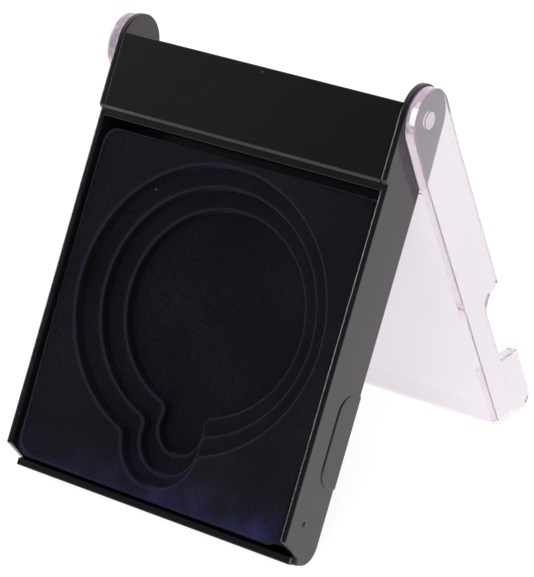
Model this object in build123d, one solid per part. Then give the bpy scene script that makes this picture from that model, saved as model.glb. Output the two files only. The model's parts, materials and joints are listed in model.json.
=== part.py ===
from build123d import *
import os
from math import acos, asin, atan2, cos, degrees, hypot, radians, sin, sqrt, tan

# A moulded medal case that stands on a table as its own easel. A black tray holds a
# flocked insert with stepped round recesses. A clear lid hinges on two round ears at
# the top of the tray, and is turned right over to the back, where it props the tray.
#
# Millimetres. The tray and the closed lid share one frame: X across, Y up along the
# tray's back from its bottom wall, Z out of the tray's back face towards the front.
# At the end the lid is turned to the back and the whole case is stood on its feet,
# with the origin on the table at the middle of the footprint.

# Medals that the stepped recesses take, largest first, and the room round each
medal_diameters = (70.0, 60.0, 50.0)
medal_clearance = 0.5
step_depths = (4.25, 3.65, 3.7)
step_bevel = 0.6

# Thumb lobe of each recess: its radius, and how far it reaches below its ring
lobe_radii = (11.0, 8.4, 6.3)
lobe_reaches = (9.2, 10.8, 10.6)
lobe_blend_radius = 3.0

# Flocked insert, a formed sheet, and its margins round the largest recess
sheet = 1.0
insert_side_margin = 4.8
insert_high_margin = 2.0
insert_low_margin = 3.3
insert_corner_radius = 4.0
insert_edge_radius = 1.2
insert_side_gap = 0.4
insert_low_gap = 1.45
insert_high_gap = 2.2
insert_floor_gap = 0.3

# Tray
side_wall = 1.6
floor_thickness = 1.6
bottom_wall = 1.85
bottom_wall_height = 10.3
rim_above_insert = 1.7
back_corner_radius = 5.0
rim_outer_bevel = 0.2
rim_inner_bevel = 0.2
rim_edge_radius = 0.25

# Lower front corner of the side walls, which is cut back on a slant
chin_length = 5.4
chin_break_length = 1.8
chin_break_height = 8.4
chin_foot_height = 7.6

# Header cover, and the cross bar that it rests on
header_height = 19.55
cover_thickness = 1.4
cover_wall = 1.5
cover_bevel = 0.75
cover_fit = 0.1
cross_bar_show = 1.75
cover_seat = 1.6
cover_end_depth = 12.0
peg_radius = 1.5
peg_fit = 0.05
peg_spacing = 50.0
peg_post_wall = 1.2
peg_post_height = 7.0
peg_tip_gap = 1.0

# Hinge: its line is the middle of the round ear, a little below the top of the tray and
# in front of the middle of the tray's depth
hinge_set_down = 2.2
hinge_set_forward = 0.4
pin_radius = 2.15
pin_running_clearance = 0.05
pin_grip_clearance = 0.02
pin_socket_depth = 1.0
pin_end_clearance = 0.1

# Thumb pad on each side wall, and the pip that holds the lid shut
pad_low = 19.3
pad_length = 23.2
pad_depth = 8.5
pad_raise = 0.28
pad_corner_radius = 4.7
pad_bevel = 0.15
pip_height_up_wall = 10.1
pip_depth = 9.4
pip_radius = 0.9
pip_rise = 0.28

# Clear lid, which is also the prop
lid_side_gap = 0.35
lid_wall = 2.6
plate_thickness = 1.2
lid_edge_above_back = 1.8
lid_neck = 13.0
lid_above_tray_end = 1.8
lid_bevel = 0.3
header_swing_clearance = 0.2
stop_clearance = 0.1
notch_clearance = 0.9
notch_slope = 0.57
notch_corner_radius = 4.5
notch_small_radius = 0.8
foot_corner_radius = 3.0
flange_depth = 8.0
flange_thickness = 1.3

# Places up the tray, from its bottom wall
ring_radii = [diameter / 2 + medal_clearance for diameter in medal_diameters]
insert_low = bottom_wall + insert_low_gap
recess_centre = insert_low + insert_low_margin + lobe_reaches[0] + ring_radii[0]
insert_high = recess_centre + ring_radii[0] + insert_high_margin
bar_low = insert_high + insert_high_gap
header_low = bar_low + cross_bar_show
bar_high = header_low + cover_seat
tray_length = header_low + header_height
peg_line = (header_low + tray_length) / 2
hinge_height = tray_length - hinge_set_down

# Places across the case, from its middle
insert_half = ring_radii[0] + insert_side_margin
bay_half = insert_half + insert_side_gap
half_width = bay_half + side_wall
lid_inner = half_width + lid_side_gap
lid_outer = lid_inner + lid_wall

# Places out from the tray's back
insert_face = floor_thickness + insert_floor_gap + sheet + sum(step_depths)
rim_height = insert_face + rim_above_insert
header_face = rim_height + cover_thickness
hinge_depth = header_face / 2 + hinge_set_forward
ear_radius = header_face - hinge_depth

# The lid, from the hinge line
lid_length = hinge_height - lid_above_tray_end
lid_depth = header_face - lid_edge_above_back
lid_ear_radius = lid_depth / 2
plate_offset = header_face - hinge_depth

# The plate's mitred top edge swings past the bevelled lower edge of the header
bevel_reach = hypot(hinge_height - header_low, header_face - cover_bevel - hinge_depth)
plate_reach = bevel_reach + header_swing_clearance
plate_start = sqrt(plate_reach**2 - plate_offset**2)

# The open lid stops when that edge meets the tray's back: the angle between the two
fold = asin((hinge_depth + stop_clearance) / plate_reach) + atan2(plate_offset, plate_start)
closing_turn = 360 - degrees(fold)

# The case then leans back until the tray's rounded corner and the lid's foot both
# meet the table
foot_up = -lid_length * cos(fold) - plate_offset * sin(fold)
foot_out = -lid_length * sin(fold) + plate_offset * cos(fold)
rise_up = back_corner_radius - hinge_height - foot_up
rise_out = back_corner_radius - hinge_depth - foot_out
lean = atan2(rise_out, rise_up) - acos(back_corner_radius / hypot(rise_up, rise_out))
prop_lean = fold - lean


def side_outline(points, corners=()):
    """A flat outline in the side view from (up, out) points, with the named corners rounded."""
    outline = make_face(Polyline(*points, close=True))
    for corner, radius in corners:
        nearest = outline.vertices().sort_by_distance(Vector(*corner))[0]
        outline = fillet(nearest, radius)
    return outline


def across(outline, start, end):
    """Sweep a side-view outline across the case, from start to end along X."""
    side_view = Plane(origin=(start, 0, 0), x_dir=(0, 1, 0), z_dir=(1, 0, 0))
    return extrude(side_view * outline, end - start)


def upright(outline, low, high):
    """Raise a front-view outline out of the tray, from low to high along Z."""
    return extrude(Pos(0, 0, low) * outline, high - low)


def block(x_range, y_range, z_range):
    """A plain box between two places along each axis."""
    spans = [high - low for low, high in (x_range, y_range, z_range)]
    centres = [(high + low) / 2 for low, high in (x_range, y_range, z_range)]
    return Pos(*centres) * Box(*spans)


def both_sides(solid):
    """A right-hand solid together with its left-hand twin."""
    return solid + mirror(solid, Plane.YZ)


def rod(radius, start, end):
    """A round rod on the hinge axis, from start to end along X."""
    return across(Pos(hinge_height, hinge_depth) * Circle(radius), start, end)


def edges_at(solid, axis, place):
    """The edges of a solid that lie wholly at one place along an axis."""
    return solid.edges().filter_by_position(axis, place - 0.001, place + 0.001)


def pip_button(grow):
    """The low round pip on the right side wall, or with a positive grow its dimple."""
    top = half_width + pip_rise + grow
    button = Pos(pip_height_up_wall, pip_depth) * Circle(pip_radius + grow)
    button = across(button, half_width - side_wall / 2, top)
    return chamfer(edges_at(button, Axis.X, top), pip_rise)


def build_cheek():
    """The tray's right side wall, with its round hinge ear, thumb pad and pip."""
    ear_root = header_low + cover_bevel
    outline = side_outline(
        [
            (0, 0),
            (ear_root, 0),
            (ear_root, header_face),
            (header_low, header_face - cover_bevel),
            (header_low, rim_height),
            (chin_length, rim_height),
            (chin_break_length, chin_break_height),
            (0, chin_foot_height),
        ],
        [((0, 0), back_corner_radius)],
    )
    ear = Pos(hinge_height, hinge_depth) * Circle(ear_radius)
    ear = make_hull([*ear.edges(), Edge.make_line((ear_root, 0), (ear_root, header_face))])
    cheek = across(outline + ear, bay_half, half_width)
    cheek = chamfer(edges_at(cheek, Axis.X, half_width), rim_outer_bevel)
    cheek = chamfer(edges_at(cheek, Axis.X, bay_half), rim_inner_bevel)

    pad_high = pad_low + pad_length
    pad = side_outline(
        [(pad_low, 0), (pad_high, 0), (pad_high, pad_depth), (pad_low, pad_depth)],
        [((pad_high, pad_depth), pad_corner_radius), ((pad_low, pad_depth), pad_corner_radius)],
    )
    pad = across(pad, half_width - side_wall / 2, half_width + pad_raise)
    pad = chamfer(edges_at(pad, Axis.X, half_width + pad_raise), pad_bevel)

    pin_bore = rod(pin_radius + pin_running_clearance, 0, lid_outer)
    return cheek + pad + pip_button(0) - pin_bore


def build_tray():
    """Floor and bottom wall, the bar under the header, the peg posts and the side walls."""
    web = half_width - side_wall / 2
    floor = side_outline(
        [
            (0, 0),
            (tray_length, 0),
            (tray_length, floor_thickness),
            (bottom_wall, floor_thickness),
            (bottom_wall, bottom_wall_height),
            (0, bottom_wall_height),
        ],
        [
            ((0, 0), back_corner_radius),
            ((bottom_wall, floor_thickness), insert_low_gap),
            ((0, bottom_wall_height), rim_edge_radius),
            ((bottom_wall, bottom_wall_height), rim_inner_bevel),
        ],
    )
    tray = across(floor, -web, web)
    tray += block((-web, web), (bar_low, bar_high), (0, rim_height))
    post = Circle(peg_radius + peg_fit + peg_post_wall) - Circle(peg_radius + peg_fit)
    post = Pos(peg_spacing / 2, peg_line) * post
    tray += both_sides(upright(post, floor_thickness, peg_post_height))
    return tray + both_sides(build_cheek())


def build_header_cover():
    """The cap that closes the hinge well, with end walls that keep the pins in."""
    half = bay_half - cover_fit
    panel = side_outline(
        [
            (header_low, rim_height),
            (tray_length, rim_height),
            (tray_length, header_face),
            (header_low + cover_bevel, header_face),
            (header_low, header_face - cover_bevel),
        ],
        [((tray_length, header_face), rim_edge_radius)],
    )
    cover = across(panel, -half, half)
    top_wall = (tray_length - cover_wall, tray_length)
    cover += block((-half, half), top_wall, (floor_thickness + cover_fit, rim_height))
    end_wall = block(
        (half - cover_wall, half),
        (bar_high + cover_fit, tray_length),
        (rim_height - cover_end_depth, rim_height),
    )
    peg = Pos(peg_spacing / 2, peg_line) * Circle(peg_radius)
    cover += both_sides(end_wall + upright(peg, floor_thickness + peg_tip_gap, rim_height))
    return cover


def recess_space(index, grow, low, high):
    """The space of one round recess and of the thumb lobe that opens out of its lower side.

    A positive grow gives the same space with that much more on every side wall."""
    start_at_top = Rot(0, 0, 90)
    lobe_drop = ring_radii[index] + lobe_reaches[index] - lobe_radii[index]
    ring = Pos(0, recess_centre) * start_at_top * Circle(ring_radii[index] + grow)
    lobe = Pos(0, recess_centre - lobe_drop) * start_at_top * Circle(lobe_radii[index] + grow)
    outline = ring + lobe
    space = upright(outline, low, high)
    blend = lobe_blend_radius - grow
    corners = space.edges().filter_by(Axis.Z).filter_by(lambda edge: abs(edge.center().X) > blend)
    return fillet(corners, blend)


def build_insert():
    """The formed sheet: a rounded block with three stepped recesses, hollow underneath."""
    middle = Pos(0, (insert_low + insert_high) / 2)
    width, height = 2 * insert_half, insert_high - insert_low
    plan = middle * RectangleRounded(width, height, insert_corner_radius)
    under_plan = middle * RectangleRounded(
        width - 2 * sheet, height - 2 * sheet, insert_corner_radius - sheet
    )
    insert = upright(plan, floor_thickness, insert_face)
    insert = fillet(edges_at(insert, Axis.Z, insert_face), insert_edge_radius)
    hollow = upright(under_plan, 0, insert_face - sheet)

    level = insert_face
    for index, depth in enumerate(step_depths):
        rim_edges = edges_at(insert, Axis.Z, level)
        insert -= recess_space(index, 0, level - depth, insert_face)
        step = [edge for edge in edges_at(insert, Axis.Z, level) if is_new(edge, rim_edges)]
        insert = chamfer(step, step_bevel)
        level -= depth
        hollow -= recess_space(index, sheet, level - sheet, insert_face)
    return insert - hollow


def is_new(edge, known_edges):
    """Whether an edge lies apart from all the known ones."""
    return all((edge.center() - known.center()).length > 0.01 for known in known_edges)


def lid_at(reach, depth):
    """A side-view point of the closed lid, from its reach below the hinge and its depth
    behind the plate's outer face."""
    return (hinge_height - reach, header_face - depth)


def build_lid():
    """The clear lid as it lies closed over the tray: plate, side walls and lower flange."""
    slope = tan(prop_lean)
    foot = lid_at(lid_length + lid_depth * slope, lid_depth)
    notch_floor = header_face - pad_depth - notch_clearance
    notch_high = hinge_height - (pad_low + pad_length + notch_clearance)
    corner_set_in = pad_corner_radius * (1 - cos(radians(45)))
    notch_low = hinge_height - (pad_low + corner_set_in - notch_clearance / 2)
    notch_mouth = notch_low + notch_slope * (lid_depth - notch_floor)
    outline = side_outline(
        [
            lid_at(lid_neck, 0),
            lid_at(lid_length, 0),
            foot,
            lid_at(notch_mouth, lid_depth),
            lid_at(notch_low, notch_floor),
            lid_at(notch_high, notch_floor),
            lid_at(notch_high, lid_depth),
            lid_at(lid_neck, lid_depth),
        ],
        [
            (foot, foot_corner_radius),
            (lid_at(notch_mouth, lid_depth), notch_small_radius),
            (lid_at(notch_low, notch_floor), notch_small_radius),
            (lid_at(notch_high, notch_floor), notch_corner_radius),
            (lid_at(notch_high, lid_depth), notch_small_radius),
        ],
    )
    ear = Pos(hinge_height, hinge_depth) * Circle(lid_ear_radius)
    neck_low, neck_high = lid_at(lid_neck + lid_wall, lid_depth), lid_at(lid_neck, 0)
    neck = side_outline(
        [neck_low, (neck_high[0], neck_low[1]), neck_high, (neck_low[0], neck_high[1])]
    )
    ear = make_hull(ear.edges() + neck.edges())
    wall = across(outline + ear, lid_inner, lid_outer)
    wall = chamfer(edges_at(wall, Axis.X, lid_outer), lid_bevel)
    wall -= rod(pin_radius + pin_grip_clearance, lid_inner, lid_inner + pin_socket_depth)
    wall -= pip_button(lid_side_gap)

    web = lid_outer - lid_bevel
    plate = side_outline(
        [
            lid_at(plate_start, 0),
            lid_at(lid_length, 0),
            lid_at(lid_length, plate_thickness),
            lid_at(plate_start + plate_thickness, plate_thickness),
        ]
    )
    flange_set_back = flange_thickness / cos(prop_lean)
    flange_drop = flange_depth * slope
    flange = side_outline(
        [
            lid_at(lid_length, 0),
            lid_at(lid_length + flange_drop, flange_depth),
            lid_at(lid_length + flange_drop - flange_set_back, flange_depth),
            lid_at(lid_length - flange_set_back, 0),
        ]
    )
    lid = across(plate, -web, web) + across(flange, -web, web)
    return lid + both_sides(wall)


def build_pin():
    """The right-hand hinge pin, gripped in the lid's ear and free in the tray's."""
    outer_end = lid_inner + pin_socket_depth - pin_grip_clearance
    return rod(pin_radius, bay_half - cover_fit + pin_end_clearance, outer_end)


hinge_line = Axis((0, hinge_height, hinge_depth), (1, 0, 0))
fold_back = -closing_turn
clear_lid = build_lid().rotate(hinge_line, fold_back)
pin_right = build_pin()

pieces = {
    "base_tray": build_tray(),
    "header_cover": build_header_cover(),
    "flocked_insert": build_insert(),
    "clear_lid": clear_lid,
    "hinge_pin_right": pin_right,
    "hinge_pin_left": mirror(pin_right, Plane.YZ),
}

# Stand the case up: lean it back, set its lowest line on the table, and centre it
leaned = Rot(90 - degrees(lean), 0, 0)
stood = {name: leaned * piece for name, piece in pieces.items()}
boxes = [piece.bounding_box() for piece in stood.values()]
front = min(box.min.Y for box in boxes)
rear = max(box.max.Y for box in boxes)
lowest = min(box.min.Z for box in boxes)
to_origin = Pos(0, -(front + rear) / 2, -lowest)

os.makedirs("parts", exist_ok=True)
for name, piece in stood.items():
    export_step(to_origin * piece, f"parts/{name}.step")
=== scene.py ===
import json
import math

import bpy
from mathutils import Euler, Matrix, Vector, noise


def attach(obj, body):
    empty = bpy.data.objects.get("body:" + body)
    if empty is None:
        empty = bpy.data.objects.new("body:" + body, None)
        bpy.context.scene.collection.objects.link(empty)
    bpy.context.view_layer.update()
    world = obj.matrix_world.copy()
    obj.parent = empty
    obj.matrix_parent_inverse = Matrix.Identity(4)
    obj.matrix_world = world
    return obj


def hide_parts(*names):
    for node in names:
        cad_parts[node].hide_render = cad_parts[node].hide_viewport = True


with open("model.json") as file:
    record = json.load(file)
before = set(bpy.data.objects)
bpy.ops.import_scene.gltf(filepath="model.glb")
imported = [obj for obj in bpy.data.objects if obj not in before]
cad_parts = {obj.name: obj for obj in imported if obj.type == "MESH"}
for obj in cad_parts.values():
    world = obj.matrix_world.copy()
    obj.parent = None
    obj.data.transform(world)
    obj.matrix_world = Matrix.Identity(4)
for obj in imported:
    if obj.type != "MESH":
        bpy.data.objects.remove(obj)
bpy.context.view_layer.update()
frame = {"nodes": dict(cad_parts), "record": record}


# The base tray is one open moulding in polished black polystyrene. It carries every other
# piece, and its two round ears hold the hinge. The polish is a little wavy where the
# moulding has sunk, and it has the hairline scuffs of a case that slides in its carton.

mm = 0.001
STYRENE_IOR = 1.58
TRAY_BLACK = (0.0065, 0.0062, 0.0070)
TRAY_WORN_BLACK = (0.013, 0.012, 0.014)
TRAY_SHINE = (1.0, 0.86, 0.97)
TRAY_EDGE_ROUNDING = 0.45 * mm
SCUFF_WIDTH = 0.12 * mm
SCUFF_LENGTH = 9 * mm
SCUFF_THRESHOLD = (0.66, 0.72)
LONG_SCUFF_TURN = (0.3, 0.1, 0.2)
CROSS_SCUFF_TURN = (1.2, 0.5, 1.4)
SCUFFED_PATCH = 14 * mm
SCUFFED_PATCH_RANGE = (0.45, 0.7)
SCUFF_PALENESS = 0.6
SCRATCH_DEPTH = 0.002 * mm
SMEAR = 20 * mm
SMEAR_RANGE = (0.35, 0.75)
SMEAR_DULLNESS = 0.25
SINK_WAVE_LENGTH = 9 * mm
SINK_WAVE_DEPTH = 0.012 * mm
LINT = (0.12, 0.12, 0.13)
LINT_GRAIN = 0.3 * mm
LINT_SPACING = 7 * mm
LINT_CORE = 0.6
LINTED_CELLS = 0.3


def shader_sockets(node, settings):
    """Sets a node's own sockets from a dict of socket name to value."""
    for socket, value in settings.items():
        node.inputs[socket].default_value = value
    return node


def new_node(owner, kind, **settings):
    """A new node of a material or of the world, its settings given as socket_name=value."""
    node = owner.node_tree.nodes.new(kind)
    named = {socket.replace("_", " "): value for socket, value in settings.items()}
    return shader_sockets(node, named)


def start_material(name, **settings):
    """A new material and its Principled shader, with the shader's constant settings."""
    material = bpy.data.materials.new(name)
    material.use_nodes = True
    shader = material.node_tree.nodes["Principled BSDF"]
    named = {socket.replace("_", " "): value for socket, value in settings.items()}
    return material, shader_sockets(shader, named)


def wire(owner, source, target):
    """Links an output socket to an input socket in a material or in the world."""
    owner.node_tree.links.new(source, target)


def on_the_piece(material, stretch=(1, 1, 1), turn=(0, 0, 0)):
    """Coordinates fixed to the piece, in metres, which a stretch divides along each axis."""
    place = new_node(material, "ShaderNodeTexCoord")
    mapping = new_node(material, "ShaderNodeMapping")
    mapping.inputs["Scale"].default_value = [1 / length for length in stretch]
    mapping.inputs["Rotation"].default_value = turn
    wire(material, place.outputs["Object"], mapping.inputs["Vector"])
    return mapping.outputs["Vector"]


def grain(material, size, detail=2.0, roughness=0.5, stretch=(1, 1, 1), turn=(0, 0, 0)):
    """Noise whose blotches are about size metres across."""
    texture = new_node(
        material, "ShaderNodeTexNoise", Scale=1 / size, Detail=detail, Roughness=roughness
    )
    wire(material, on_the_piece(material, stretch, turn), texture.inputs["Vector"])
    return texture.outputs["Fac"]


def between(owner, value, low, high, to_low=0.0, to_high=1.0):
    """Maps a value from one range to another, and holds it at the ends."""
    node = new_node(
        owner, "ShaderNodeMapRange", From_Min=low, From_Max=high, To_Min=to_low, To_Max=to_high
    )
    wire(owner, value, node.inputs["Value"])
    return node.outputs["Result"]


def combine(owner, operation, first, second):
    """Two values put together by a maths operation."""
    node = new_node(owner, "ShaderNodeMath")
    node.operation = operation
    for socket, value in zip(node.inputs, (first, second)):
        if isinstance(value, (int, float)):
            socket.default_value = value
        else:
            wire(owner, value, socket)
    return node.outputs["Value"]


def blend_colours(material, share, first, second):
    """A colour from a first to a plain second one, at a share that nodes work out. The first
    may be plain too, or come out of nodes."""
    node = new_node(material, "ShaderNodeMix")
    node.data_type = "RGBA"
    factor, below, above = node.inputs[0], node.inputs[6], node.inputs[7]
    wire(material, share, factor)
    if isinstance(first, tuple):
        below.default_value = (*first, 1)
    else:
        wire(material, first, below)
    above.default_value = (*second, 1)
    return node.outputs[2]


def raise_surface(material, height, depth, below=None):
    """A bump of the given depth in metres, laid over an earlier one where there is one."""
    bump = new_node(material, "ShaderNodeBump", Strength=1.0, Distance=depth)
    wire(material, height, bump.inputs["Height"])
    if below is not None:
        wire(material, below, bump.inputs["Normal"])
    return bump.outputs["Normal"]


def scuffs(material, turn, width=SCUFF_WIDTH, length=SCUFF_LENGTH):
    """Hairline scuffs along one way: 1 on a scuff and 0 between them."""
    lines = grain(material, 1, detail=1, stretch=(length, width, length), turn=turn)
    return between(material, lines, *SCUFF_THRESHOLD)


def dust(material, spacing, size, share):
    """Grains of lint: 1 on a grain and 0 elsewhere, in a share of the cells of a spacing."""
    cells = new_node(material, "ShaderNodeTexVoronoi", Scale=1 / spacing, Randomness=1.0)
    wire(material, on_the_piece(material), cells.inputs["Vector"])
    rim = size / spacing
    near = between(material, cells.outputs["Distance"], rim, LINT_CORE * rim)
    draw = new_node(material, "ShaderNodeSeparateColor")
    wire(material, cells.outputs["Color"], draw.inputs["Color"])
    kept = combine(material, "LESS_THAN", draw.outputs["Red"], share)
    return combine(material, "MULTIPLY", near, kept)


def rounded_edges(material, radius):
    """A normal that rounds the piece's sharp edges by a radius in metres."""
    node = new_node(material, "ShaderNodeBevel", Radius=radius)
    return node.outputs["Normal"]


def black_moulding(
    name,
    colour,
    worn,
    shine,
    gloss,
    scuffed_gloss,
    texture_depth,
    texture_size,
    scuff_share,
    lint_share,
    edge_rounding,
):
    """Black styrene, polished or satin, with scuffs along two ways and a little lint."""
    material, shader = start_material(name, IOR=STYRENE_IOR, Specular_Tint=(*shine, 1))
    long_scuffs = scuffs(material, LONG_SCUFF_TURN)
    cross_scuffs = scuffs(material, CROSS_SCUFF_TURN)
    patches = between(material, grain(material, SCUFFED_PATCH), *SCUFFED_PATCH_RANGE)
    marks = combine(material, "MAXIMUM", long_scuffs, cross_scuffs)
    marks = combine(material, "MULTIPLY", marks, patches)
    marks = combine(material, "MULTIPLY", marks, scuff_share)
    wear = combine(material, "MULTIPLY", marks, SCUFF_PALENESS)
    base = blend_colours(material, wear, colour, worn)
    grains = dust(material, LINT_SPACING, LINT_GRAIN, LINTED_CELLS)
    lint = combine(material, "MULTIPLY", grains, lint_share)
    wire(material, blend_colours(material, lint, base, LINT), shader.inputs["Base Color"])
    smears = grain(material, SMEAR, detail=4)
    smears = between(material, smears, *SMEAR_RANGE, 0, SMEAR_DULLNESS)
    dullness = combine(material, "MAXIMUM", smears, marks)
    roughness = between(material, dullness, 0, 1, gloss, scuffed_gloss)
    wire(material, roughness, shader.inputs["Roughness"])
    edges = rounded_edges(material, edge_rounding)
    sinks = grain(material, SINK_WAVE_LENGTH, detail=1)
    waves = raise_surface(material, sinks, SINK_WAVE_DEPTH, edges)
    skin = raise_surface(material, grain(material, texture_size), texture_depth, waves)
    unmarked = combine(material, "SUBTRACT", 1, marks)
    scratched = raise_surface(material, unmarked, SCRATCH_DEPTH, skin)
    wire(material, scratched, shader.inputs["Normal"])
    return material


tray_plastic = black_moulding(
    "polished_black_styrene",
    TRAY_BLACK,
    TRAY_WORN_BLACK,
    TRAY_SHINE,
    gloss=0.16,
    scuffed_gloss=0.42,
    texture_depth=0.0006 * mm,
    texture_size=0.5 * mm,
    scuff_share=1.0,
    lint_share=0.2,
    edge_rounding=TRAY_EDGE_ROUNDING,
)
frame["nodes"]["base_tray"].data.materials[0] = tray_plastic


# The insert is a sheet of styrene drawn down over a mould, which leaves three stepped
# recesses with a thumb lobe each. Its face is flocked in navy, and the short fibres soften
# every edge. Its skirt stands loose on the tray's floor.

STEP_DEPTHS = (4.25 * mm, 3.65 * mm, 3.7 * mm)
LOBE_RADII = (11.0 * mm, 8.4 * mm, 6.3 * mm)
LOBE_REACHES = (9.2 * mm, 10.8 * mm, 10.6 * mm)
LOBE_BLEND_RADIUS = 3.0 * mm
SHEET = 1.0 * mm
INSERT_CORNER_RADIUS = 4.0 * mm
INSERT_EDGE_RADIUS = 0.7 * mm
STEP_EDGE_RADIUS = 1.0 * mm
STEP_EDGE_RINGS = 6
OUTER_EDGE_RINGS = 7
STEP_FOOT_RINGS = 4
FACE_RINGS = 8
STEP_FLOOR_RINGS = 3
DEEP_FLOOR_RINGS = 12
MIDDLE_SHARE = 0.04
STEP_FOOT_RADIUS = 0.5 * mm
STEP_DRAFT = 0.15 * mm
SHEET_WAVE = 0.13 * mm
SHEET_WAVE_LENGTH = 17 * mm
CORNER_POINTS = 9
SIDE_POINTS = 26
BOTTOM_SIDE_POINTS = 6
BLEND_POINTS = 8
LOBE_POINTS = 40
NAVY = (0.0034, 0.0032, 0.0046)
NAVY_LIFTED = (0.0090, 0.0086, 0.0120)
# Painted sheen: a blue glow painted on the flock, fading up from its low edge
NAVY_PAINTED_LOW_SHEEN = (0.0240, 0.0235, 0.0900)
# Painted sheen: a pale highlight painted along the steps' rounded edges
NAVY_PAINTED_EDGE_SHEEN = (0.0210, 0.0192, 0.0375)
NAVY_SHEEN = (0.40, 0.37, 0.72)
# How far up, how much on the left and in what patches the painted blue sheen reaches
LOW_SHEEN_REACH = 11 * mm
LOW_SHEEN_LEFT_SHARE = 0.2
LOW_SHEEN_PATCH = 9 * mm
LOW_SHEEN_PATCH_RANGE = (0.40, 0.62)
LOW_SHEEN_LEAST = 0.2
FLOCK_LAY = 24 * mm
FLOCK_LAY_RANGE = (0.42, 0.72)
FLOCK_LAY_GROUND = 0.6
FLOCK_TUFT = 0.6 * mm
FLOCK_TUFT_RANGE = (0.32, 0.70)
FLOCK_FUZZ_LEAST = 0.55
FLOCK_NAP = 2.2 * mm
FLOCK_NAP_DEPTH = 0.05 * mm
FLOCK_PILE = 0.16 * mm
FLOCK_PILE_DEPTH = 0.10 * mm
FLOCK_LINT_SPACING = 8 * mm
FLOCK_LINTED_CELLS = 0.12

mounts = {mount["name"]: mount for mount in frame["record"]["mounts"]}
recess_mounts = [mounts[name] for name in ("medal_70", "medal_60", "medal_50")]
ring_radii = [mount["dims"]["r_mm"] * mm for mount in recess_mounts]

# The case leans back, so its own axes are the hinge's, the tray's upward one and the face's
across = Vector((1, 0, 0))
outward = Vector(recess_mounts[0]["axis"])
case_axes = Matrix((across, outward.cross(across), outward)).transposed()


def case_box(node):
    """The lowest and highest corners of a CAD node along the case's own axes."""
    to_case = case_axes.transposed()
    places = [to_case @ vertex.co for vertex in frame["nodes"][node].data.vertices]
    return [Vector([pick(place[i] for place in places) for i in range(3)]) for pick in (min, max)]


insert_low, insert_high = case_box("flocked_insert")
recess_centre = (case_axes.transposed() @ Vector(recess_mounts[0]["pos_m"])).y
face = insert_high.z


def arc(centre, radius, start, end, count):
    """Points along an arc between two angles in radians, both ends among them."""
    angles = [start + (end - start) * step / (count - 1) for step in range(count)]
    return [centre + radius * Vector((math.cos(angle), math.sin(angle))) for angle in angles]


def blend_geometry(index):
    """The lobe's centre, the blend's centre on its right, and the angle from straight down
    at which that blend leaves the ring."""
    ring, lobe = ring_radii[index], LOBE_RADII[index]
    drop = ring + LOBE_REACHES[index] - lobe
    to_blend, lobe_to_blend = ring + LOBE_BLEND_RADIUS, lobe + LOBE_BLEND_RADIUS
    cosine = (to_blend**2 + drop**2 - lobe_to_blend**2) / (2 * to_blend * drop)
    turn = math.acos(cosine)
    blend = Vector((to_blend * math.sin(turn), recess_centre - to_blend * cosine))
    return Vector((0, recess_centre - drop)), blend, turn


def lobe_outline(index, grow):
    """The blend, the lobe and the other blend, from the ring's left round to its right."""
    lobe_centre, blend, turn = blend_geometry(index)
    toward_lobe = math.atan2(lobe_centre.y - blend.y, lobe_centre.x - blend.x)
    right_lobe = math.atan2(blend.y - lobe_centre.y, blend.x - lobe_centre.x)
    toward_ring = math.pi / 2 + turn
    right = arc(
        blend, LOBE_BLEND_RADIUS - grow, toward_ring, toward_lobe % math.tau, BLEND_POINTS
    )
    left = [Vector((-point.x, point.y)) for point in right]
    under = arc(
        lobe_centre, LOBE_RADII[index] + grow, -math.pi - right_lobe, right_lobe, LOBE_POINTS
    )
    return left + under[1:-1] + right[::-1]


def spread(start, end, count):
    """Points evenly between two, with neither end."""
    return [start.lerp(end, (step + 1) / (count + 1)) for step in range(count)]


def plan_outline(grow):
    """The insert's rounded outline from above, once round from below the lobes."""
    half, radius = insert_high.x - INSERT_CORNER_RADIUS, INSERT_CORNER_RADIUS + grow
    low, high = insert_low.y + INSERT_CORNER_RADIUS, insert_high.y - INSERT_CORNER_RADIUS
    quarter = math.pi / 2
    centres = [Vector((half, low)), Vector((half, high)), Vector((-half, high))]
    centres.append(Vector((-half, low)))
    corners = [
        arc(centre, radius, (turn - 1) * quarter, turn * quarter, CORNER_POINTS)
        for turn, centre in enumerate(centres)
    ]
    bottom = low - radius
    under_lobe = [
        Vector((point.x * (recess_centre - bottom) / (recess_centre - point.y), bottom))
        for point in lobe_outline(0, 0)
    ]
    outline = under_lobe + spread(under_lobe[-1], corners[0][0], BOTTOM_SIDE_POINTS)
    for corner, following in zip(corners, corners[1:]):
        outline += corner + spread(corner[-1], following[0], SIDE_POINTS)
    outline += corners[-1] + spread(corners[-1][-1], under_lobe[0], BOTTOM_SIDE_POINTS)
    return outline


plan = plan_outline(0)
lobe_count = len(lobe_outline(0, 0))
plan_turns = [
    math.atan2(point.x, recess_centre - point.y) % math.tau for point in plan[lobe_count:]
]
outer_turn = blend_geometry(0)[2]


def recess_outline(index, grow):
    """One recess from above, point for point beside the insert's own outline."""
    own_turn = blend_geometry(index)[2]
    scale = (math.pi - own_turn) / (math.pi - outer_turn)
    radius = ring_radii[index] + grow
    ring = []
    for plan_turn in plan_turns:
        turn = math.pi + (plan_turn - math.pi) * scale
        ring.append(Vector((radius * math.sin(turn), recess_centre - radius * math.cos(turn))))
    return lobe_outline(index, grow) + ring


def rounding(radius, count, convex):
    """(outward, downward) steps round a quarter turn, from level ground to upright."""
    steps = []
    for step in range(count + 1):
        angle = math.pi / 2 * step / count
        if convex:
            steps.append((radius * (1 - math.sin(angle)), radius * (1 - math.cos(angle))))
        else:
            steps.append((-radius * (1 - math.cos(angle)), radius * (math.sin(angle) - 1)))
    return steps


def at_height(outline, height):
    """An outline's points at one height."""
    return [Vector((point.x, point.y, height)) for point in outline]


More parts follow.
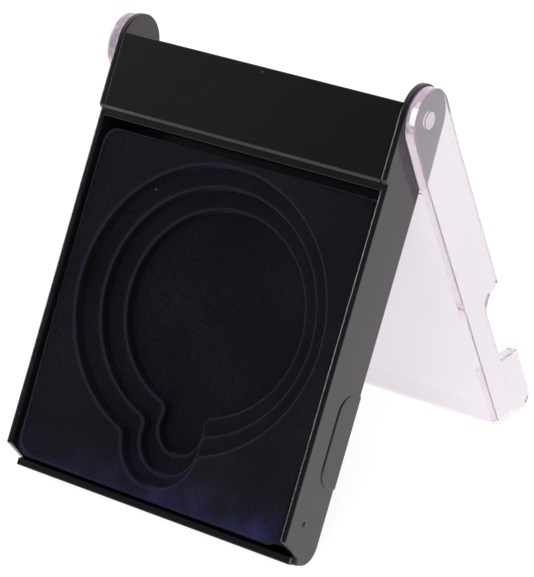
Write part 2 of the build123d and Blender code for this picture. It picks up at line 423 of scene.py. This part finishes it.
def fill_between(first, second, count):
    """Rings evenly between two rings, with neither of them."""
    return [
        [a.lerp(b, (step + 1) / (count + 1)) for a, b in zip(first, second)]
        for step in range(count)
    ]


def edge_sheen_shares(count):
    """How far each ring of a rounding is on its edge, 0 at both ends and 1 midway: its share of
    the painted edge sheen.
    """
    return [math.sin(math.pi * step / count) ** 2 for step in range(count + 1)]


def step_rings(index, level):
    """The rings of one step: over its soft edge, down its wall and out onto its floor."""
    floor = level - STEP_DEPTHS[index]
    rings = [
        at_height(recess_outline(index, grow), level - drop)
        for grow, drop in rounding(STEP_EDGE_RADIUS, STEP_EDGE_RINGS, True)
    ]
    rings += [
        at_height(recess_outline(index, grow - STEP_DRAFT), floor - rise)
        for grow, rise in rounding(STEP_FOOT_RADIUS, STEP_FOOT_RINGS, False)
    ]
    return rings


def top_rings():
    """Rings of the flocked side, from the foot of the skirt in to the middle of the floor, and
    each one's share of the painted edge sheen."""
    rings = [at_height(plan, insert_low.z), at_height(plan, (insert_low.z + face) / 2)]
    rings += [
        at_height(plan_outline(grow - INSERT_EDGE_RADIUS), face - drop)
        for grow, drop in rounding(INSERT_EDGE_RADIUS, OUTER_EDGE_RINGS, True)[::-1]
    ]
    edges = [0] * len(rings)
    level = face
    for index, depth in enumerate(STEP_DEPTHS):
        step = step_rings(index, level)
        count = FACE_RINGS if index == 0 else STEP_FLOOR_RINGS
        rings += fill_between(rings[-1], step[0], count)
        edges += [0] * (len(rings) - len(edges)) + edge_sheen_shares(STEP_EDGE_RINGS)
        rings += step
        edges += [0] * (len(rings) - len(edges))
        level -= depth
    middle = Vector((0, recess_centre, level))
    near_middle = [middle.lerp(point, MIDDLE_SHARE) for point in rings[-1]]
    rings += fill_between(rings[-1], near_middle, DEEP_FLOOR_RINGS) + [near_middle]
    return rings, edges + [0] * (len(rings) - len(edges))


def under_rings():
    """Rings of the bare side, a sheet's thickness behind, from the middle to the skirt."""
    rings, level = [], face - SHEET
    rings.append(at_height(plan_outline(-SHEET), insert_low.z))
    rings.append(at_height(plan_outline(-SHEET), level))
    for index, depth in enumerate(STEP_DEPTHS):
        rings.append(at_height(recess_outline(index, SHEET), level))
        level -= depth
        rings.append(at_height(recess_outline(index, SHEET), level))
    middle = Vector((0, recess_centre, level))
    rings.append([middle.lerp(point, MIDDLE_SHARE) for point in rings[-1]])
    return rings[::-1]


def sheet_wave(place):
    """How far the drawn sheet stands off true at a place on it."""
    spot = Vector((place.x, place.y, 0)) / SHEET_WAVE_LENGTH
    return SHEET_WAVE * noise.noise(spot)


def mesh_from_rings(name, rings, edges, shift):
    """A closed mesh through rings of equal count, whose first and last rings are capped. It
    carries each ring's share of the flock's painted edge sheen."""
    count = len(rings[0])
    places = [point + Vector((0, 0, shift(point))) for ring in rings for point in ring]
    faces = []
    for ring in range(len(rings) - 1):
        for step in range(count):
            here, after = ring * count + step, ring * count + (step + 1) % count
            faces.append((here, after, after + count, here + count))
    last = (len(rings) - 1) * count
    faces.append(tuple(range(count))[::-1])
    faces.append(tuple(last + step for step in range(count)))
    mesh = bpy.data.meshes.new(name)
    mesh.from_pydata([case_axes @ place for place in places], [], faces)
    sheen_layer = mesh.attributes.new("painted_edge_sheen", "FLOAT", "POINT")
    sheen_layer.data.foreach_set("value", [share for share in edges for _ in range(count)])
    mesh.validate()
    mesh.shade_smooth()
    piece = bpy.data.objects.new(name, mesh)
    bpy.context.scene.collection.objects.link(piece)
    return piece


def along(owner, place, way):
    """How far a place or a direction reaches along a way."""
    node = new_node(owner, "ShaderNodeVectorMath")
    node.operation = "DOT_PRODUCT"
    node.inputs[1].default_value = way
    wire(owner, place, node.inputs[0])
    return node.outputs["Value"]


def painted_low_sheen_share(material):
    """The share of painted blue sheen: 1 at the insert's low edge, fading up the face, and more
    of it towards the right.
    """
    place = new_node(material, "ShaderNodeTexCoord").outputs["Object"]
    up = case_axes.col[1]
    level = (case_axes @ Vector((0, insert_low.y, 0))).dot(up)
    height = combine(material, "SUBTRACT", along(material, place, up), level)
    sideways = new_node(material, "ShaderNodeSeparateXYZ")
    wire(material, place, sideways.inputs["Vector"])
    reach = (insert_low.x, insert_high.x)
    rightward = between(material, sideways.outputs["X"], *reach, LOW_SHEEN_LEFT_SHARE, 1)
    fade = between(material, height, LOW_SHEEN_REACH, 0)
    return combine(material, "MULTIPLY", fade, rightward)


def flock(name):
    """Navy flock: nearly black and lifted in tufts, with a pale sheen painted round the steps'
    edges and a blue sheen painted fading up from the low edge."""
    material, shader = start_material(
        name,
        IOR=1.45,
        Roughness=0.95,
        Specular_IOR_Level=0.15,
        Sheen_Weight=0.15,
        Sheen_Roughness=0.2,
        Sheen_Tint=(*NAVY_SHEEN, 1),
    )
    lay = between(material, grain(material, FLOCK_LAY, detail=3), *FLOCK_LAY_RANGE)
    tufts = grain(material, FLOCK_TUFT, detail=3, roughness=0.7)
    tufts = between(material, tufts, *FLOCK_TUFT_RANGE)
    lifted = combine(material, "ADD", lay, FLOCK_LAY_GROUND)
    lifted = combine(material, "MULTIPLY", lifted, tufts)
    colour = blend_colours(material, lifted, NAVY, NAVY_LIFTED)
    # Painted sheen: the steps' rounded edges are painted paler, as a highlight
    sheen_layer = new_node(material, "ShaderNodeAttribute")
    sheen_layer.attribute_name = "painted_edge_sheen"
    fuzz = between(material, tufts, 0, 1, FLOCK_FUZZ_LEAST, 1)
    edge = combine(material, "MULTIPLY", sheen_layer.outputs["Fac"], fuzz)
    colour = blend_colours(material, edge, colour, NAVY_PAINTED_EDGE_SHEEN)
    # Painted sheen: a blue glow fading up from the low edge, stronger to the right, in patches
    low_sheen = combine(material, "MULTIPLY", painted_low_sheen_share(material), fuzz)
    patches = grain(material, LOW_SHEEN_PATCH, detail=3)
    patches = between(material, patches, *LOW_SHEEN_PATCH_RANGE, LOW_SHEEN_LEAST, 1)
    low_sheen = combine(material, "MULTIPLY", low_sheen, patches)
    colour = blend_colours(material, low_sheen, colour, NAVY_PAINTED_LOW_SHEEN)
    lint = dust(material, FLOCK_LINT_SPACING, LINT_GRAIN, FLOCK_LINTED_CELLS)
    wire(material, blend_colours(material, lint, colour, LINT), shader.inputs["Base Color"])
    nap = raise_surface(material, grain(material, FLOCK_NAP, detail=2), FLOCK_NAP_DEPTH)
    fibres = grain(material, FLOCK_PILE, detail=3)
    pile = raise_surface(material, fibres, FLOCK_PILE_DEPTH, nap)
    wire(material, pile, shader.inputs["Normal"])
    return material


bare_rings = under_rings()
flocked_rings, flocked_sheen_shares = top_rings()
insert = mesh_from_rings(
    "stepped_flocked_insert",
    bare_rings + flocked_rings,
    [0] * len(bare_rings) + flocked_sheen_shares,
    sheet_wave,
)
insert.data.materials.append(flock("navy_flock_on_styrene"))
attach(insert, "base")
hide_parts("flocked_insert")


# The header cover is a satin black cap that rests on the tray's cross bar, with two pegs of
# its own in the tray's posts. It closes the hinge well, and its end walls keep the pins from
# working inwards. It has fine scuffs and a few grains of lint.

HEADER_BLACK = (0.0042, 0.0042, 0.0042)
HEADER_WORN_BLACK = (0.020, 0.020, 0.020)
HEADER_SHINE = (1.0, 1.0, 1.0)
HEADER_EDGE_ROUNDING = 0.15 * mm

header_plastic = black_moulding(
    "satin_black_styrene",
    HEADER_BLACK,
    HEADER_WORN_BLACK,
    HEADER_SHINE,
    gloss=0.21,
    scuffed_gloss=0.32,
    texture_depth=0.003 * mm,
    texture_size=0.18 * mm,
    scuff_share=0.25,
    lint_share=0.5,
    edge_rounding=HEADER_EDGE_ROUNDING,
)
frame["nodes"]["header_cover"].data.materials[0] = header_plastic


# Each hinge pin is a short rod of natural white plastic. It fits closely in the blind socket
# of the lid's ear, and is free in the ear of the tray.

PIN_WHITE = (0.93, 0.92, 0.94)
PIN_YELLOWED = (0.88, 0.86, 0.85)
PIN_MOTTLE = 0.9 * mm
PIN_MOTTLE_RANGE = (0.4, 0.7)
PIN_ROUGHNESS = (0.28, 0.42)
TURNING_MARK = (0.12 * mm, 4 * mm, 4 * mm)
TURNING_MARK_DEPTH = 0.006 * mm

pin_plastic, pin_shader = start_material("natural_white_plastic", IOR=1.5)
pin_mottle = grain(pin_plastic, PIN_MOTTLE, detail=3)
pin_mottle = between(pin_plastic, pin_mottle, *PIN_MOTTLE_RANGE)
pin_colour = blend_colours(pin_plastic, pin_mottle, PIN_WHITE, PIN_YELLOWED)
wire(pin_plastic, pin_colour, pin_shader.inputs["Base Color"])
pin_roughness = between(pin_plastic, pin_mottle, 0, 1, *PIN_ROUGHNESS)
wire(pin_plastic, pin_roughness, pin_shader.inputs["Roughness"])
turning_marks = grain(pin_plastic, 1, stretch=TURNING_MARK)
pin_normal = raise_surface(pin_plastic, turning_marks, TURNING_MARK_DEPTH)
wire(pin_plastic, pin_normal, pin_shader.inputs["Normal"])
for side in ("left", "right"):
    frame["nodes"][f"hinge_pin_{side}"].data.materials[0] = pin_plastic


# The lid is one moulding in clear styrene with polished faces. It turns on the pins from
# the front right over to the back, where its edge meets the tray and it props the case.
# Thick clear walls look faintly violet where light runs along them.

LID_TINT = (0.960, 0.915, 0.960)
LID_HAZED_TINT = (0.940, 0.895, 0.940)
LID_DEPTH_TINT = (0.88, 0.58, 0.84)
LID_DEPTH_DENSITY = 14.0
LID_SHADOW_TINT = (0.93, 0.92, 0.94)
LID_CLARITY = 0.91
LID_HAZE = 16 * mm
LID_HAZE_RANGE = (0.35, 0.75)
LID_SCUFF_WIDTH = 0.09 * mm
LID_SCUFF_LENGTH = 12 * mm
LID_SCUFF_TURNS = ((0.2, 0.9, 0.1), (1.0, 0.2, 1.1))
LID_ROUGHNESS = (0.03, 0.2)
LID_WAVE_LENGTH = 12 * mm
LID_WAVE_DEPTH = 0.02 * mm
LIGHT_TURNS = 32
MIRRORED_TURNS = 24

lid_plastic, lid_shader = start_material(
    "clear_styrene",
    IOR=STYRENE_IOR,
    Transmission_Weight=LID_CLARITY,
)
lid_haze = grain(lid_plastic, LID_HAZE, detail=3)
lid_haze = between(lid_plastic, lid_haze, *LID_HAZE_RANGE)
lid_colour = blend_colours(lid_plastic, lid_haze, LID_TINT, LID_HAZED_TINT)
wire(lid_plastic, lid_colour, lid_shader.inputs["Base Color"])
lid_scuffs = combine(
    lid_plastic,
    "MAXIMUM",
    *[scuffs(lid_plastic, turn, LID_SCUFF_WIDTH, LID_SCUFF_LENGTH) for turn in LID_SCUFF_TURNS],
)
lid_roughness = between(lid_plastic, lid_scuffs, 0, 1, *LID_ROUGHNESS)
wire(lid_plastic, lid_roughness, lid_shader.inputs["Roughness"])
lid_waves = grain(lid_plastic, LID_WAVE_LENGTH, detail=1)
lid_normal = raise_surface(lid_plastic, lid_waves, LID_WAVE_DEPTH)
wire(lid_plastic, lid_normal, lid_shader.inputs["Normal"])

# Lamps shine through it, so that it throws a clear plastic's pale shadow
ray_kind = new_node(lid_plastic, "ShaderNodeLightPath")
let_through = new_node(lid_plastic, "ShaderNodeBsdfTransparent", Color=(*LID_SHADOW_TINT, 1))
clear_mix = new_node(lid_plastic, "ShaderNodeMixShader")
lid_output = lid_plastic.node_tree.nodes["Material Output"]
wire(lid_plastic, ray_kind.outputs["Is Shadow Ray"], clear_mix.inputs["Fac"])
wire(lid_plastic, lid_shader.outputs["BSDF"], clear_mix.inputs[1])
wire(lid_plastic, let_through.outputs["BSDF"], clear_mix.inputs[2])
wire(lid_plastic, clear_mix.outputs["Shader"], lid_output.inputs["Surface"])

# Light that runs a long way inside it turns violet
lid_depth = new_node(
    lid_plastic,
    "ShaderNodeVolumeAbsorption",
    Color=(*LID_DEPTH_TINT, 1),
    Density=LID_DEPTH_DENSITY,
)
wire(lid_plastic, lid_depth.outputs["Volume"], lid_output.inputs["Volume"])
frame["nodes"]["clear_lid"].data.materials[0] = lid_plastic

# In its walls light is turned back from face to face many times before it comes out
bpy.context.scene.cycles.max_bounces = LIGHT_TURNS
bpy.context.scene.cycles.glossy_bounces = MIRRORED_TURNS
bpy.context.scene.cycles.transmission_bounces = MIRRORED_TURNS


# The studio is a white table top under a pale surround. Both show as white to the eye, and
# nearly white through the clear plastic, and the table takes only a very faint shadow.

TABLE_HALF = 3.0
TABLE_GREY = (0.30, 0.30, 0.30)
TABLE_FIBRE_GREY = (0.31, 0.31, 0.31)
TABLE_FIBRE = 3 * mm
TABLE_FIBRE_RANGE = (0.3, 0.7)
TABLE_GLOW = 0.86
TABLE_GLOW_THROUGH_LID = 0.72
SURROUND_THROUGH_LID = 0.88
TABLE_BOUNCE = 0.35
FILL_FRONT = 0.85
FILL_REAR = 0.25
FILL_REACH = 0.6
MIRRORED_FRONT = 0.05
MIRRORED_WINDOW = 18.0
OUT_OF_THE_DARK = (-0.55, 0.83, 0)
ROOM_RANGE = (-0.35, 0.25)
WINDOW_LEFT_RANGE = (-0.94, -0.97)
WINDOW_FRONT_RANGE = (-0.02, -0.12)


def seen_directly(owner):
    """1 for a ray from the camera, from gloss or through clear plastic, and else 0."""
    path = new_node(owner, "ShaderNodeLightPath")
    total = path.outputs["Is Camera Ray"]
    for kind in ("Is Glossy Ray", "Is Transmission Ray"):
        total = combine(owner, "MAXIMUM", total, path.outputs[kind])
    return total


corners = [(x * TABLE_HALF, y * TABLE_HALF, 0) for x, y in ((-1, -1), (1, -1), (1, 1), (-1, 1))]
table_mesh = bpy.data.meshes.new("table_top")
table_mesh.from_pydata(corners, [], [(0, 1, 2, 3)])
table = bpy.data.objects.new("table_top", table_mesh)
bpy.context.scene.collection.objects.link(table)
table_paper, table_shader = start_material("white_table", Roughness=0.9)
table_shader.inputs["Specular IOR Level"].default_value = 0.1
table_shader.inputs["Emission Color"].default_value = (1, 1, 1, 1)
table_fibre = grain(table_paper, TABLE_FIBRE, detail=3)
table_fibre = between(table_paper, table_fibre, *TABLE_FIBRE_RANGE)
table_colour = blend_colours(table_paper, table_fibre, TABLE_GREY, TABLE_FIBRE_GREY)
wire(table_paper, table_colour, table_shader.inputs["Base Color"])
table_seen = seen_directly(table_paper)
table_glow = between(table_paper, table_seen, 0, 1, TABLE_BOUNCE, TABLE_GLOW)
through_lid = new_node(table_paper, "ShaderNodeLightPath").outputs["Is Transmission Ray"]
lid_loss = combine(table_paper, "MULTIPLY", through_lid, TABLE_GLOW - TABLE_GLOW_THROUGH_LID)
table_glow = combine(table_paper, "SUBTRACT", table_glow, lid_loss)
wire(table_paper, table_glow, table_shader.inputs["Emission Strength"])
table.data.materials.append(table_paper)

world = bpy.data.worlds.new("pale_surround")
world.use_nodes = True
world.cycles.sampling_method = "NONE"
bpy.context.scene.world = world
surround = world.node_tree.nodes["Background"]
surround.inputs["Color"].default_value = (1, 1, 1, 1)


def world_choice(chooser, otherwise, chosen):
    """One of two strengths of the world, by a value that is 0 or 1."""
    node = new_node(world, "ShaderNodeMix")
    factor, first, second = node.inputs[0], node.inputs[2], node.inputs[3]
    wire(world, chooser, factor)
    for socket, value in ((first, otherwise), (second, chosen)):
        if isinstance(value, float):
            socket.default_value = value
        else:
            wire(world, value, socket)
    return node.outputs[0]


# Gloss sees a dark room in front of the tray and on its right, a bright window on its
# left, and white elsewhere
direction = new_node(world, "ShaderNodeTexCoord").outputs["Generated"]
split = new_node(world, "ShaderNodeSeparateXYZ")
wire(world, direction, split.inputs["Vector"])
out_of_the_dark = along(world, direction, OUT_OF_THE_DARK)
room = between(world, out_of_the_dark, *ROOM_RANGE, MIRRORED_FRONT, 1.0)
window_left = between(world, split.outputs["X"], *WINDOW_LEFT_RANGE, 0, MIRRORED_WINDOW)
window_front = between(world, split.outputs["Y"], *WINDOW_FRONT_RANGE)
window = combine(world, "MULTIPLY", window_left, window_front)
room = combine(world, "MAXIMUM", room, window)

# Diffuse surfaces are lit by a fill that is stronger from the front. The camera sees plain
# white, and the clear plastic lets a little less of it through. A ray through the plastic
# counts as gloss too, so it is taken off what is mirrored.
fill = between(world, split.outputs["Y"], -FILL_REACH, FILL_REACH, FILL_FRONT, FILL_REAR)
world_path = new_node(world, "ShaderNodeLightPath")
through = world_path.outputs["Is Transmission Ray"]
mirrored = combine(world, "SUBTRACT", world_path.outputs["Is Glossy Ray"], through)
mirrored.node.use_clamp = True
strength = world_choice(seen_directly(world), fill, 1.0)
strength = world_choice(through, strength, SURROUND_THROUGH_LID)
strength = world_choice(mirrored, strength, room)
wire(world, strength, surround.inputs["Strength"])


# One broad soft lamp stands in front, a little to the right and well above the case, so
# that the flock reads flat and the left walls of the recesses fall dark. Gloss does not
# show it: what the polished faces mirror is the surround.

LAMP_PLACE = Vector((0.30, -1.05, 0.70))
LAMP_AIM = Vector((0, 0, 0.05))
LAMP_SIZE = 0.60
LAMP_WATTS = 8.5

lamp = bpy.data.lights.new("front_softbox", "AREA")
lamp.shape = "DISK"
lamp.size = LAMP_SIZE
lamp.energy = LAMP_WATTS
lamp_holder = bpy.data.objects.new("front_softbox", lamp)
lamp_holder.location = LAMP_PLACE
lamp_holder.rotation_euler = (LAMP_AIM - LAMP_PLACE).to_track_quat("-Z", "Y").to_euler()
lamp_holder.visible_glossy = False
bpy.context.scene.collection.objects.link(lamp_holder)


# The camera stands in front of the case, on its right and well above it, and is tilted a
# hair to one side, as the photograph was taken.

CAMERA_PLACE = Vector((325.85, -485.28, 320.06)) * mm
CAMERA_TURN_DEG = (64.656, -0.794, 34.428)
CAMERA_LENS_MM = 158.76
CAMERA_SENSOR_MM = 36.0
CAMERA_NEAREST = 10 * mm

camera_data = bpy.data.cameras.new("studio_camera")
camera_data.lens = CAMERA_LENS_MM
camera_data.sensor_width = CAMERA_SENSOR_MM
camera_data.clip_start = CAMERA_NEAREST
camera = bpy.data.objects.new("studio_camera", camera_data)
camera.location = CAMERA_PLACE
camera.rotation_euler = Euler([math.radians(angle) for angle in CAMERA_TURN_DEG])
bpy.context.scene.collection.objects.link(camera)
bpy.context.scene.camera = camera
bpy.context.scene.view_settings.view_transform = "Standard"
